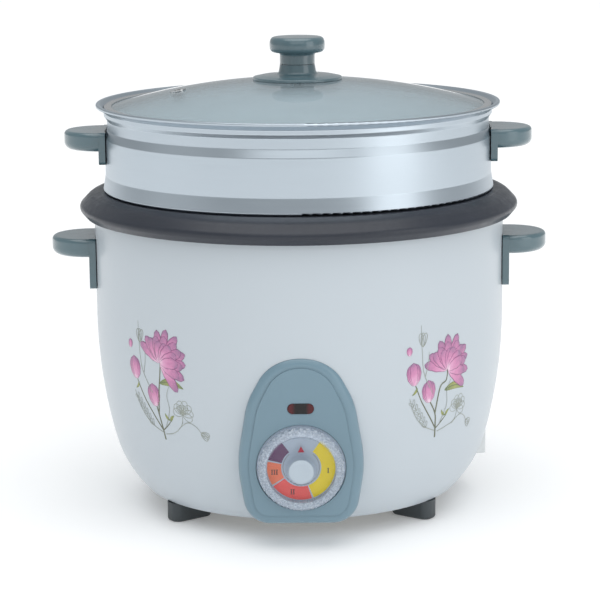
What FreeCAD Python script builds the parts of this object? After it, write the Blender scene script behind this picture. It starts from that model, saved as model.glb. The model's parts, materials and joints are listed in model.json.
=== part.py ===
import FreeCAD, Part
import math
import os
import Sketcher
from FreeCAD import Placement, Rotation, Vector

# Electric rice cooker with a steamer pan and a glass lid.
# Millimetres, +Z up, origin on the floor under the middle of the body, panel towards -Y.

DIMENSIONS = [
    # alias, value, meaning
    ("foot_height", 14.5, "floor to the underside of the shell"),
    ("foot_outer", 121.0, "outer end of a foot from the axis"),
    ("foot_inner", 87.0, "inner end of a foot from the axis"),
    ("foot_width", 16.0, "width of a foot"),
    ("foot_screw", 97.0, "foot screw from the axis"),
    ("shell_radius", 154.0, "outside of the straight part of the shell"),
    ("shell_top", 229.0, "top edge of the shell"),
    ("shell_wall", 1.0, "sheet thickness of the shell"),
    ("bowl_turn", 102.5, "height where the straight wall turns into the bowl"),
    ("bowl_low_radius", 136.5, "corner of the bowl outline, radius"),
    ("bowl_low", 32.3, "corner of the bowl outline, height"),
    ("bowl_bend", 365.0, "large bend of the bowl"),
    ("base_bend", 86.0, "small bend of the bowl above the base"),
    ("base_radius", 119.0, "outside of the shell at its base"),
    ("base_opening", 108.0, "opening in the bottom of the shell"),
    ("liner_radius", 149.6, "outside of the liner wall"),
    ("liner_wall", 0.8, "sheet thickness of the liner"),
    ("pot_base", 84.0, "underside of the pot"),
    ("pot_wall", 1.8, "wall of the pot"),
    ("rim_radius", 165.0, "widest part of the pot rim"),
    ("rim_crest", 240.7, "top of the pot rim"),
    ("rim_waist", 229.3, "height of the widest part of the pot rim"),
    ("plate_radius", 107.0, "heating plate"),
    ("plate_top", 83.6, "top face of the heating plate"),
    ("plate_thick", 13.6, "thickness of the heating plate"),
    ("element_ring", 82.0, "ring radius of the heating element"),
    ("element_tube", 4.5, "tube radius of the heating element"),
    ("post_ring", 60.0, "heating plate posts from the axis"),
    ("floor_plate", 15.6, "underside of the base plate"),
    ("floor_thick", 1.2, "sheet thickness of the base plate"),
    ("pan_radius", 144.9, "outside of the steamer wall"),
    ("pan_wall", 1.2, "sheet thickness of the steamer"),
    ("pan_base", 229.6, "underside of the steamer"),
    ("pan_top", 306.0, "top of the steamer flange"),
    ("flange_radius", 151.2, "outside of the steamer flange"),
    ("glass_radius", 142.0, "edge of the lid glass"),
    ("glass_top", 322.5, "top of the lid glass"),
    ("glass_thick", 3.2, "thickness of the lid glass"),
    ("knob_top", 354.0, "top of the lid knob"),
    ("knob_cap", 20.8, "radius of the lid knob"),
    ("knob_flange", 33.4, "radius of the flange under the lid knob"),
    ("handle_thick", 14.0, "thickness of a handle wing"),
    ("handle_width", 57.0, "width of a handle wing"),
    ("pan_handle_tip", 175.7, "tip of a steamer handle from the axis"),
    ("pan_handle_low", 271.6, "underside of a steamer handle wing"),
    ("body_handle_tip", 187.0, "tip of a body handle from the axis"),
    ("body_handle_low", 192.0, "underside of a body handle wing"),
    ("dial_height", 62.0, "height of the dial centre"),
    ("dial_radius", 31.0, "outside of the timer knob"),
    ("panel_top", 81.0, "top of the panel above the dial centre"),
    ("panel_low", 43.6, "bottom of the panel below the dial centre"),
    ("panel_half", 45.5, "half of the widest part of the panel"),
    ("panel_wall", 4.0, "front wall of the panel"),
    ("lens_height", 44.0, "indicator lens above the dial centre"),
    ("lens_length", 18.6, "length of the indicator lens"),
    ("lens_width", 7.6, "height of the indicator lens"),
    ("inlet_face", 141.0, "outer face of the power inlet from the axis"),
    ("inlet_low", 30.5, "underside of the power inlet"),
    ("inlet_height", 27.0, "height of the power inlet"),
    ("inlet_width", 47.0, "width of the power inlet"),
]

PANEL_TILT = 4.5        # degrees, the panel face leans out towards its top
PANEL_FACE = -151.1     # Y of the panel face at the dial centre
INLET_TURN = 10.0       # degrees from +X towards +Y
FOOT_TURNS = {"front_right": -36, "rear_right": 36, "rear_left": 144, "front_left": -144}
CUT_THROUGH = 200.0     # longer than any wall that a cut goes through
PANEL_GAP = 0.15        # between the panel and the shell
PANEL_SCREWS = [(-30, 33), (30, 33)]        # X and Z
INLET_PINS = [(-7, -2), (7, -2), (0, 2)]    # across and up from the middle of the socket
DOME = 484.0            # large bend of the lid glass
VENT = Vector(-89, -12, 0)                  # vent hole in the lid, from the axis

os.makedirs("parts", exist_ok=True)
doc = FreeCAD.newDocument("RiceCooker")
sheet = doc.addObject("Spreadsheet::Sheet", "Dimensions")


class Size:
    """A length that knows its number and the sheet expression that it comes from."""

    def __init__(self, number, text=None):
        self.number = float(number)
        self.text = text or repr(float(number))

    def joined(self, other, sign, number):
        return Size(number, f"({self.text} {sign} {as_size(other).text})")

    def __add__(self, other):
        return self.joined(other, "+", self.number + as_size(other).number)

    def __sub__(self, other):
        return self.joined(other, "-", self.number - as_size(other).number)

    def __mul__(self, other):
        return self.joined(other, "*", self.number * as_size(other).number)

    def __truediv__(self, other):
        return self.joined(other, "/", self.number / as_size(other).number)

    def __neg__(self):
        return Size(-self.number, f"(-{self.text})")

    def __radd__(self, other):
        return as_size(other) + self

    def __rsub__(self, other):
        return as_size(other) - self


def as_size(value):
    return value if isinstance(value, Size) else Size(value)


class Sheet:
    """The driving dimensions by name."""


dim = Sheet()
for row, (alias, value, meaning) in enumerate(DIMENSIONS, start=1):
    sheet.set(f"A{row}", meaning)
    sheet.set(f"B{row}", str(value))
    sheet.setAlias(f"B{row}", alias)
    setattr(dim, alias, Size(value, f"Dimensions.{alias}"))
doc.recompute()

nodes = {}


def keep(node, piece):
    """Register a finished sub-part under its node name."""
    piece.Label = node
    nodes[node] = piece
    return piece


def bind(piece, **sizes):
    """Bind the properties of a Part object to sheet expressions."""
    for name, size in sizes.items():
        piece.setExpression(name, as_size(size).text)
    return piece


# ---------------------------------------------------------------- sketches

def new_body(node):
    body = doc.addObject("PartDesign::Body", node + "_body")
    return keep(node, body)


def new_sketch(body, role, shift=None, turn=None):
    """Sketch on one of the body's own origin planes, shifted along its normal."""
    sketch = body.newObject("Sketcher::SketchObject", "Sketch")
    plane = [item for item in body.Origin.OriginFeatures if item.Role == role][0]
    sketch.AttachmentSupport = (plane, [""])
    sketch.MapMode = "FlatFace"
    if turn is not None:
        sketch.AttachmentOffset = Placement(Vector(), turn)
    if shift is not None:
        sketch.setExpression("AttachmentOffset.Base.z", as_size(shift).text)
    return sketch


def pin_point(sketch, geometry, vertex, x, y, expressions, constraints):
    """Fix one point of a sketch by its two coordinates, each from the sheet."""
    for kind, axis, size in (("DistanceX", -2, as_size(x)), ("DistanceY", -1, as_size(y))):
        if abs(size.number) < 1e-9:
            constraints.append(Sketcher.Constraint("PointOnObject", geometry, vertex, axis))
            continue
        if "Dimensions" in size.text:
            expressions[len(constraints)] = size.text
        constraints.append(Sketcher.Constraint(kind, -1, 1, geometry, vertex, size.number))


def apply_constraints(sketch, constraints, expressions):
    first = sketch.ConstraintCount
    sketch.addConstraint(constraints)
    for place, text in expressions.items():
        sketch.setExpression(f"Constraints[{first + place}]", text)


def draw_outline(sketch, corners):
    """Closed outline of straight runs; a corner (x, y, bend) is rounded by that radius."""
    count = len(corners)
    points = [Vector(as_size(c[0]).number, as_size(c[1]).number, 0) for c in corners]
    bends = [as_size(c[2]).number if len(c) > 2 else 0.0 for c in corners]
    starts, ends, arcs, reaches = [], [], [], []
    for i, corner in enumerate(points):
        before = (points[i - 1] - corner).normalize()
        after = (points[(i + 1) % count] - corner).normalize()
        if bends[i] == 0.0:
            ends.append(corner)
            starts.append(corner)
            arcs.append(None)
            reaches.append(0.0)
            continue
        half = before.getAngle(after) / 2
        reach = bends[i] / math.tan(half)
        reaches.append(reach)
        centre = corner + (before + after).normalize() * (bends[i] / math.sin(half))
        ends.append(corner + before * reach)
        starts.append(corner + after * reach)
        left_turn = after.cross(before).z > 0
        first, last = (ends[i], starts[i]) if left_turn else (starts[i], ends[i])
        angles = [math.atan2(p.y - centre.y, p.x - centre.x) for p in (first, last)]
        circle = Part.Circle(centre, Vector(0, 0, 1), bends[i])
        arcs.append((Part.ArcOfCircle(circle, angles[0], angles[1]), left_turn))
    lines = []
    for i in range(count):
        run = (points[(i + 1) % count] - points[i]).Length
        if reaches[i] + reaches[(i + 1) % count] > run + 1e-6:
            raise ValueError(f"{sketch.Name}: the bends {i} and {i + 1} overlap")
        lines.append(sketch.addGeometry(Part.LineSegment(starts[i], ends[(i + 1) % count]), False))
    constraints, expressions = [], {}
    for i in range(count):
        incoming, outgoing = lines[i - 1], lines[i]
        if arcs[i] is None:
            constraints.append(Sketcher.Constraint("Coincident", incoming, 2, outgoing, 1))
            pin_point(sketch, outgoing, 1, corners[i][0], corners[i][1], expressions, constraints)
            continue
        arc = sketch.addGeometry(arcs[i][0], False)
        tip = sketch.addGeometry(Part.Point(points[i]), True)
        near, far = (1, 2) if arcs[i][1] else (2, 1)
        constraints.append(Sketcher.Constraint("Tangent", incoming, 2, arc, near))
        constraints.append(Sketcher.Constraint("Tangent", outgoing, 1, arc, far))
        bend = as_size(corners[i][2])
        if "Dimensions" in bend.text:
            expressions[len(constraints)] = bend.text
        constraints.append(Sketcher.Constraint("Radius", arc, bend.number))
        constraints.append(Sketcher.Constraint("PointOnObject", tip, 1, incoming))
        constraints.append(Sketcher.Constraint("PointOnObject", tip, 1, outgoing))
        pin_point(sketch, tip, 1, corners[i][0], corners[i][1], expressions, constraints)
    apply_constraints(sketch, constraints, expressions)
    return sketch


def draw_circles(sketch, circles):
    """Circles (x, y, radius)."""
    constraints, expressions = [], {}
    for x, y, radius in circles:
        x, y, radius = as_size(x), as_size(y), as_size(radius)
        circle = Part.Circle(Vector(x.number, y.number, 0), Vector(0, 0, 1), radius.number)
        index = sketch.addGeometry(circle, False)
        pin_point(sketch, index, 3, x, y, expressions, constraints)
        if "Dimensions" in radius.text:
            expressions[len(constraints)] = radius.text
        constraints.append(Sketcher.Constraint("Radius", index, radius.number))
    apply_constraints(sketch, constraints, expressions)
    return sketch


def box_corners(left, low, right, high, bend=None):
    """Corners of an upright rectangle, rounded when a bend is given."""
    extra = () if bend is None else (bend,)
    return [(left, low) + extra, (right, low) + extra, (right, high) + extra, (left, high) + extra]


def mirrored(right_side):
    """An outline symmetric about the vertical axis, from its right side, bottom to top."""
    left_side = [(-as_size(c[0]),) + tuple(c[1:]) for c in reversed(right_side)]
    return list(right_side) + left_side


def drawn_in(outline, inset):
    """The same outline with every side and bend moved inwards by inset."""
    points = [Vector(as_size(x).number, as_size(y).number, 0) for x, y, _ in outline]
    moved = []
    for i, (x, y, bend) in enumerate(outline):
        before = (points[i - 1] - points[i]).normalize()
        after = (points[(i + 1) % len(points)] - points[i]).normalize()
        shift = (before + after).normalize() * (inset / math.sin(before.getAngle(after) / 2))
        moved.append((x + shift.x, y + shift.y, bend - inset))
    return moved


# ---------------------------------------------------------------- features

def turned(body, corners, kind="Revolution"):
    """Revolve an outline of (radius, height) corners about the Z axis."""
    sketch = draw_outline(new_sketch(body, "XZ_Plane"), corners)
    feature = body.newObject(f"PartDesign::{kind}", kind)
    feature.Profile = sketch
    feature.ReferenceAxis = (sketch, ["V_Axis"])
    feature.Angle = 360
    return feature


def padded(body, sketch, length, outward=True):
    """Pad a sketch along its normal, or against it."""
    pad = body.newObject("PartDesign::Pad", "Pad")
    pad.Profile = sketch
    pad.Reversed = not outward
    pad.setExpression("Length", as_size(length).text)
    return pad


def pocketed(body, sketch, length=CUT_THROUGH, outward=True):
    """Cut a sketch along its normal, or against it, and check that it removes something."""
    doc.recompute()
    before = body.Shape.Volume
    pocket = body.newObject("PartDesign::Pocket", "Pocket")
    pocket.Profile = sketch
    pocket.Reversed = outward
    pocket.setExpression("Length", as_size(length).text)
    doc.recompute()
    if not body.Shape.Volume < before - 1e-3:
        raise ValueError(f"{body.Label}: a pocket cuts nothing")
    return pocket


def repeated(body, feature, count):
    """Repeat a feature evenly about the Z axis."""
    pattern = body.newObject("PartDesign::PolarPattern", "PolarPattern")
    pattern.Originals = [feature]
    axis = [item for item in body.Origin.OriginFeatures if item.Role == "Z_Axis"][0]
    pattern.Axis = (axis, [""])
    pattern.Angle = 360
    pattern.Occurrences = count
    body.Tip = pattern
    doc.recompute()
    return pattern


def rounded(body, feature, radius, chosen):
    """Fillet the edges of a feature that the test picks."""
    doc.recompute()
    names = [f"Edge{i}" for i, edge in enumerate(feature.Shape.Edges, start=1) if chosen(edge)]
    fillet = body.newObject("PartDesign::Fillet", "Fillet")
    fillet.Base = (feature, names)
    fillet.setExpression("Radius", as_size(radius).text)
    doc.recompute()
    if not fillet.Shape.isValid() or not fillet.isValid():
        raise ValueError(f"{body.Label}: fillet failed")
    return fillet


def level_edges(axis, place, slack=0.01):
    """Test for edges that lie wholly in the plane where the given coordinate is place."""
    return lambda edge: all(abs(getattr(v.Point, axis) - place) < slack for v in edge.Vertexes) \
        and abs(getattr(edge.CenterOfMass, axis) - place) < slack


def cylinder(name, radius, height, place=Vector(), direction=Vector(0, 0, 1)):
    piece = doc.addObject("Part::Cylinder", name)
    bind(piece, Radius=radius, Height=height)
    piece.Placement = Placement(place, Rotation(Vector(0, 0, 1), direction))
    return piece


def block(name, length, width, height, corner):
    piece = doc.addObject("Part::Box", name)
    bind(piece, Length=length, Width=width, Height=height)
    piece.Placement = Placement(corner, Rotation())
    return piece


def fused(name, pieces):
    fuse = doc.addObject("Part::MultiFuse", name)
    fuse.Shapes = pieces
    return fuse


def less(name, base, tool):
    cut = doc.addObject("Part::Cut", name)
    cut.Base = base
    cut.Tool = tool
    return cut


def grouped(node, master, placements):
    """One node holding a copy of a piece at every placement."""
    doc.recompute()
    copies = []
    for placement in placements:
        copy = master.Shape.copy()
        copy.Placement = placement.multiply(copy.Placement)
        copies.append(copy)
    group = doc.addObject("Part::Feature", node)
    group.Shape = Part.makeCompound(copies)
    return keep(node, group)


def screw(name, head_radius, head_height, shank_radius, shank_length):
    """Cross-head screw: its shank goes up from the origin, its head lies below."""
    slot_width = head_radius * 0.28
    slot_depth = head_height * 0.5
    head = cylinder(name + "_head", head_radius, head_height, Vector(0, 0, -head_height))
    shank = cylinder(name + "_shank", shank_radius, shank_length)
    solid = fused(name + "_solid", [head, shank])
    slots = []
    for turn in (0, 90):
        slot = block(name + "_slot", head_radius * 1.3, slot_width, slot_depth, Vector())
        centre = Vector(-head_radius * 0.65, -slot_width / 2, -head_height)
        slot.Placement = Placement(Vector(), Rotation(Vector(0, 0, 1), turn)).multiply(
            Placement(centre, Rotation()))
        slots.append(slot)
    return less(name, solid, fused(name + "_cross", slots))


def pointing(place, direction):
    """Placement that turns +Z to the given direction at the given place."""
    return Placement(place, Rotation(Vector(0, 0, 1), direction))


# ---------------------------------------------------------------- housing

def shell_outline(offset):
    """Outer line of the shell from its top edge down to its base, moved inwards by offset."""
    return [
        (dim.shell_radius - offset, dim.bowl_turn, dim.bowl_bend - offset),
        (dim.bowl_low_radius - offset, dim.bowl_low, dim.base_bend - offset),
    ]


def make_outer_shell():
    body = new_body("outer_shell")
    curl = dim.shell_radius - 3.8
    wall = dim.shell_wall
    corners = [(dim.shell_radius, dim.shell_top, 0.9)]
    corners += shell_outline(0)
    corners += [
        (dim.base_radius, dim.foot_height, 1.5),
        (dim.base_opening, dim.foot_height),
        (dim.base_opening, dim.foot_height + wall),
        (dim.base_radius, dim.foot_height + wall, 0.5),
    ]
    corners += reversed(shell_outline(wall))
    corners += [
        (dim.shell_radius - wall, dim.shell_top - wall),
        (curl, dim.shell_top - wall),
        (curl, dim.shell_top),
    ]
    turned(body, corners)
    inlet = new_sketch(body, "YZ_Plane", turn=Rotation(Vector(0, 1, 0), INLET_TURN))
    gap = 0.4
    half = dim.inlet_width / 2 + gap
    draw_outline(inlet, box_corners(-half, dim.inlet_low - gap, half,
                                    dim.inlet_low + dim.inlet_height + gap, 1.8))
    pocketed(body, inlet)
    opening = new_sketch(body, "XZ_Plane")
    draw_outline(opening, box_corners(-34, dim.dial_height - 23, 34, dim.dial_height + 26, 5))
    pocketed(body, opening)
    lamp = new_sketch(body, "XZ_Plane")
    lamp_low = dim.dial_height + dim.lens_height - 6
    draw_outline(lamp, box_corners(-10, lamp_low, 10, lamp_low + 12, 2))
    pocketed(body, lamp)
    panel_holes = new_sketch(body, "XZ_Plane")
    draw_circles(panel_holes, [(x, z, 1.8) for x, z in PANEL_SCREWS])
    pocketed(body, panel_holes)
    for outward in (True, False):
        handle_holes = new_sketch(body, "YZ_Plane")
        height = dim.body_handle_low + dim.handle_thick / 2
        draw_circles(handle_holes, [(-14, height, 2.2), (14, height, 2.2)])
        pocketed(body, handle_holes, outward=outward)


def make_inner_liner():
    body = new_body("inner_liner")
    wall = dim.liner_wall
    inside = dim.liner_radius - wall
    turned(body, [
        (dim.liner_radius + 3.0, dim.shell_top + 0.3),
        (dim.liner_radius, dim.shell_top + 0.3),
        (dim.liner_radius, 150, 60 + wall),
        (139.0 + wall, 92.0 - wall, 9 + wall),
        (110.5, 80.0 - wall),
        (110.5, 80.0),
        (139.0, 92.0, 9),
        (inside, 150, 60),
        (inside, dim.shell_top + 0.3 + wall, 1.0),
        (dim.liner_radius + 3.0, dim.shell_top + 0.3 + wall),
    ])


def make_base_plate():
    body = new_body("base_plate")
    top = dim.floor_plate + dim.floor_thick
    turned(body, [(0, dim.floor_plate), (117, dim.floor_plate), (117, top), (0, top)])
    slot = new_sketch(body, "XY_Plane")
    draw_outline(slot, box_corners(28, -2, 50, 2, 1.9))
    repeated(body, pocketed(body, slot), 16)
    holes = new_sketch(body, "XY_Plane")
    circles = []
    for turn in FOOT_TURNS.values():
        across, along = math.cos(math.radians(turn)), math.sin(math.radians(turn))
        circles.append((dim.foot_screw * across, dim.foot_screw * along, 2.1))
    draw_circles(holes, circles)
    pocketed(body, holes)
    post = new_sketch(body, "XY_Plane")
    draw_circles(post, [(dim.post_ring, 0, 2.5)])
    repeated(body, pocketed(body, post), 3)


def make_feet():
    """Four radial blocks with a sunk screw; every foot is a piece of its own."""
    half = dim.foot_width / 2
    for corner, turn in FOOT_TURNS.items():
        body = new_body(f"foot_{corner}")
        plan = new_sketch(body, "XY_Plane")
        draw_outline(plan, box_corners(dim.foot_inner, -half, dim.foot_outer, half, 6.5))
        pad = padded(body, plan, dim.foot_height)
        rounded(body, pad, 2.2, level_edges("z", 0))
        boss = new_sketch(body, "XY_Plane", shift=dim.foot_height)
        draw_circles(boss, [(dim.foot_screw, 0, 6)])
        padded(body, boss, dim.floor_plate - dim.foot_height)
        sunk = new_sketch(body, "XY_Plane")
        draw_circles(sunk, [(dim.foot_screw, 0, 4.6)])
        pocketed(body, sunk, 7)
        through = new_sketch(body, "XY_Plane")
        draw_circles(through, [(dim.foot_screw, 0, 2.1)])
        pocketed(body, through, 30)
        body.Placement = Placement(Vector(), Rotation(Vector(0, 0, 1), turn))
    master = screw("foot_screw", 4.0, 2.4, 2.0, 13.0)
    spots = []
    for turn in FOOT_TURNS.values():
        place = Vector(dim.foot_screw.number, 0, 7)
        spots.append(Placement(Vector(), Rotation(Vector(0, 0, 1), turn)).multiply(
            Placement(place, Rotation())))
    grouped("foot_screws", master, spots)


def make_handle(node, side, tip, low, wall_radius, pad_low, pad_top, hole_y, hole_end):
    """Moulded wing with an upright pad whose back follows the wall it is fixed to."""
    body = new_body(node)
    half = dim.handle_width / 2
    wing = new_sketch(body, "XY_Plane", shift=low)
    inner = wall_radius - 2
    corners = [(inner, -half), (tip, -half, 28), (tip, half, 28), (inner, half)]
    draw_outline(wing, corners)
    wing_pad = padded(body, wing, dim.handle_thick)
    top_edges = level_edges("z", (low + dim.handle_thick).number)
    bottom_edges = level_edges("z", low.number)

    def outside(edge):
        return edge.BoundBox.XMax > inner.number + 1

    upper = rounded(body, wing_pad, 3.0, lambda edge: top_edges(edge) and outside(edge))
    rounded(body, upper, 5.5, lambda edge: bottom_edges(edge) and outside(edge))
    pad = new_sketch(body, "YZ_Plane", shift=inner)
    draw_outline(pad, box_corners(-half - 0.6, pad_low, half + 0.6, pad_top, 3))
    padded(body, pad, wall_radius + 3.0 - inner)
    doc.recompute()
    hollow = [(0, pad_low - 5), (wall_radius + 0.15, pad_low - 5),
              (wall_radius + 0.15, pad_top + 5), (0, pad_top + 5)]
    turned(body, hollow, "Groove")
    holes = new_sketch(body, "YZ_Plane", shift=wall_radius - 10)
    height = low + dim.handle_thick / 2
    draw_circles(holes, [(-hole_y, height, 2.0), (hole_y, height, 2.0)])
    pocketed(body, holes, hole_end - wall_radius + 10)
    turn = 0 if side > 0 else 180
    body.Placement = Placement(Vector(), Rotation(Vector(0, 0, 1), turn))


def make_body_handles():
    for node, side in (("body_handle_right", 1), ("body_handle_left", -1)):
        make_handle(node, side, dim.body_handle_tip, dim.body_handle_low, dim.shell_radius,
                    as_size(168.5), as_size(206.3), 14, as_size(172))
    master = screw("handle_screw", 4.0, 1.9, 2.0, 18.0)
    height = (dim.body_handle_low + dim.handle_thick / 2).number
    spots = []
    for side in (1, -1):
        for y in (-14, 14):
            spots.append(pointing(Vector(side * 151.8, y, height), Vector(side, 0, 0)))
    grouped("body_handle_screws", master, spots)


def make_inlet():
    """Appliance inlet: moulded block with a socket, three flat pins and its bracket."""
    turn = Rotation(Vector(0, 0, 1), INLET_TURN)
    half = dim.inlet_width / 2
    top = dim.inlet_low + dim.inlet_height
    middle = dim.inlet_low + dim.inlet_height / 2
    body = new_body("inlet_housing")
    front = new_sketch(body, "YZ_Plane", shift=112)
    draw_outline(front, box_corners(-half, dim.inlet_low, half, top, 2))
    pad = padded(body, front, dim.inlet_face - 112)
    rounded(body, pad, 1.0, level_edges("x", dim.inlet_face.number))
    socket = new_sketch(body, "YZ_Plane", shift=dim.inlet_face)
    draw_outline(socket, [(-12.5, middle - 9, 2), (12.5, middle - 9, 2),
                          (12.5, middle + 6.5, 1), (10, middle + 9, 1),
                          (-10, middle + 9, 1), (-12.5, middle + 6.5, 1)])
    pocketed(body, socket, 18.5, outward=False)
    slots = new_sketch(body, "YZ_Plane", shift=105)
    for y, z in INLET_PINS:
        draw_outline(slots, box_corners(y - 1, middle + z - 2, y + 1, middle + z + 2))
    pocketed(body, slots, 25)
    body.Placement = Placement(Vector(), turn)

    pins = []
    for y, z in INLET_PINS:
        pins.append(block("pin", 32, 2, 4, Vector(106.5, y - 1, middle.number + z - 2)))
    group = doc.addObject("Part::Compound", "inlet_pins")
    group.Links = pins
    group.Placement = Placement(Vector(), turn)
    keep("inlet_pins", group)

    floor = dim.floor_plate + dim.floor_thick
    upright = block("bracket_upright", 1.5, 40, middle + 10 - floor,
                    Vector(110.4, -20, floor.number))
    foot = block("bracket_foot", 14, 40, 1.5, Vector(97.9, -20, floor.number))
    window = block("bracket_window", 6, 27, 13, Vector(108, -13.5, middle.number - 6.5))
    bracket = less("inlet_bracket", fused("bracket_solid", [upright, foot]), window)
    bracket.Placement = Placement(Vector(), turn)
    keep("inlet_bracket", bracket)


# ---------------------------------------------------------------- control panel

panel_place = Placement(Vector(0, PANEL_FACE, dim.dial_height.number),
                        Rotation(Vector(1, 0, 0), PANEL_TILT))


envelope = doc.addObject("PartDesign::Body", "shell_envelope")
envelope.Label = "shell_envelope"


def make_envelope():
    """Solid that fills the shell out to the back of the panel."""
    turned(envelope, [(0, dim.shell_top), (dim.shell_radius + PANEL_GAP, dim.shell_top)]
           + shell_outline(-PANEL_GAP)
           + [(dim.base_radius + PANEL_GAP, dim.foot_height), (0, dim.foot_height)])
    doc.recompute()


def egg(inset):
    """Outline of the panel, moved inwards by inset."""
    return drawn_in(mirrored([
        (dim.panel_half - 7.2, -dim.panel_low, 19),
        (dim.panel_half, 1.0, 82),
        (dim.panel_half - 7.5, 46.5, 63),
        (dim.panel_half - 24.9, dim.panel_top, 33),
    ]), inset)


def make_control_panel():
    """Egg-shaped hood; its back is cut to the curve of the shell."""
    moulding = doc.addObject("PartDesign::Body", "panel_moulding")
    moulding.Label = "panel_moulding"
    border = new_sketch(moulding, "XZ_Plane", shift=-1)
    draw_outline(border, egg(0))
    hood = padded(moulding, border, 40, outward=False)
    doc.recompute()
    front = [face for face in hood.Shape.Faces if abs(face.CenterOfMass.y - 1) < 0.01
             and face.Area > 3000][0]
    edge_keys = [edge.CenterOfMass for edge in front.Edges]
    rounded(moulding, hood, 6, lambda edge: any(
        edge.CenterOfMass.distanceToPoint(key) < 1e-3 for key in edge_keys))
    face = new_sketch(moulding, "XZ_Plane", shift=-1)
    draw_outline(face, egg(7.5))
    padded(moulding, face, 1)
    cavity = new_sketch(moulding, "XZ_Plane", shift=-dim.panel_wall)
    draw_outline(cavity, egg(2.6))
    pocketed(moulding, cavity, 60, outward=False)
    recess = new_sketch(moulding, "XZ_Plane")
    draw_circles(recess, [(0, 0, dim.dial_radius + 1)])
    pocketed(moulding, recess, 2, outward=False)
    shaft_hole = new_sketch(moulding, "XZ_Plane")
    draw_circles(shaft_hole, [(0, 0, 4)])
    pocketed(moulding, shaft_hole, 10, outward=False)
    lens = new_sketch(moulding, "XZ_Plane")
    half_length, half_width = dim.lens_length / 2 + 0.1, dim.lens_width / 2 + 0.1
    draw_outline(lens, box_corners(-half_length, dim.lens_height - half_width, half_length,
                                   dim.lens_height + half_width, dim.lens_width / 2))
    pocketed(moulding, lens, 10, outward=False)
    bosses = new_sketch(moulding, "XZ_Plane", shift=-dim.panel_wall)
    draw_circles(bosses, [(-27, 0, 4), (27, 0, 4)])
    padded(moulding, bosses, 4, outward=False)
    boss_holes = new_sketch(moulding, "XZ_Plane", shift=-dim.panel_wall - 4)
    draw_circles(boss_holes, [(-27, 0, 1.5), (27, 0, 1.5)])
    doc.recompute()
    pocketed(moulding, boss_holes, 5)
    pillars = new_sketch(moulding, "XZ_Plane", shift=-dim.panel_wall)
    draw_circles(pillars, [(x, z - dim.dial_height.number, 4) for x, z in PANEL_SCREWS])
    padded(moulding, pillars, 30, outward=False)
    moulding.Placement = panel_place

    bores = [cylinder("panel_bore", 1.5, 12, Vector(x, -shell_depth(x, z) + 5, z), Vector(0, -1, 0))
             for x, z in PANEL_SCREWS]
    tool = fused("panel_tool", [envelope] + bores)
    keep("control_panel", less("control_panel_cut", moulding, tool))


def shell_depth(x, z):
    """Distance of the shell's front from the XZ plane, at the given X and Z."""
    ray = Part.makeLine(Vector(x, 0, z), Vector(x, -CUT_THROUGH, z))
    return envelope.Shape.common(ray).Length


def make_panel_screws():
    master = screw("panel_screw", 3.2, 1.9, 1.5, 9.0)
    spots = []
    for x, z in PANEL_SCREWS:
        inside = shell_depth(x, z) - dim.shell_wall.number - 2.4
        spots.append(pointing(Vector(x, -inside, z), Vector(0, -1, 0)))
    grouped("panel_screws", master, spots)


def make_dial():
    """Printed dial disc, clear fluted knob with its pointer, and the timer shaft."""
    plate = new_body("dial_plate")
    disc = new_sketch(plate, "XZ_Plane", shift=-2)
    draw_circles(disc, [(0, 0, dim.dial_radius + 0.4), (0, 0, 4)])
    padded(plate, disc, 0.8)

    knob = new_body("timer_knob")
    layers = [
        # radius, back, front: distances in front of the panel face
        (dim.dial_radius, -0.85, 6.6),
        (11.0, 6.6, 8.6),
    ]
    for radius, back, front in layers:
        sketch = new_sketch(knob, "XZ_Plane", shift=back)
        draw_circles(sketch, [(0, 0, radius)])
        padded(knob, sketch, front - back)
    doc.recompute()
    rounded(knob, knob.Tip, 1.2, level_edges("y", -8.6))
    window = new_sketch(knob, "XZ_Plane", shift=6.6)
    draw_circles(window, [(0, 0, 24.0), (0, 0, 11.0)])
    pocketed(knob, window, 4.4, outward=False)
    bore = new_sketch(knob, "XZ_Plane", shift=-0.85)
    draw_circles(bore, [(0, 0, 3.0)])
    pocketed(knob, bore, 5.85)
    flute = new_sketch(knob, "XZ_Plane", shift=0.6)
    draw_circles(flute, [(0, dim.dial_radius + 1.6, 3.2)])
    cut = pocketed(knob, flute, 10)
    pattern = knob.newObject("PartDesign::PolarPattern", "Flutes")
    pattern.Originals = [cut]
    axis = [item for item in knob.Origin.OriginFeatures if item.Role == "Y_Axis"][0]
    pattern.Axis = (axis, [""])
    pattern.Angle = 360
    pattern.Occurrences = 24
    knob.Tip = pattern

    pointer = new_body("pointer_mark")
    mark = new_sketch(pointer, "XZ_Plane", shift=2.2)
    draw_outline(mark, [(-2.3, 12.6), (2.3, 12.6), (0, 17.0)])
    padded(pointer, mark, 0.3)

    shaft = new_body("timer_shaft")
    section = new_sketch(shaft, "XZ_Plane", shift=-20)
    draw_circles(section, [(0, 0, 3.0)])
    padded(shaft, section, 25)
    for piece in (plate, knob, pointer, shaft):
        piece.Placement = panel_place


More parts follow.
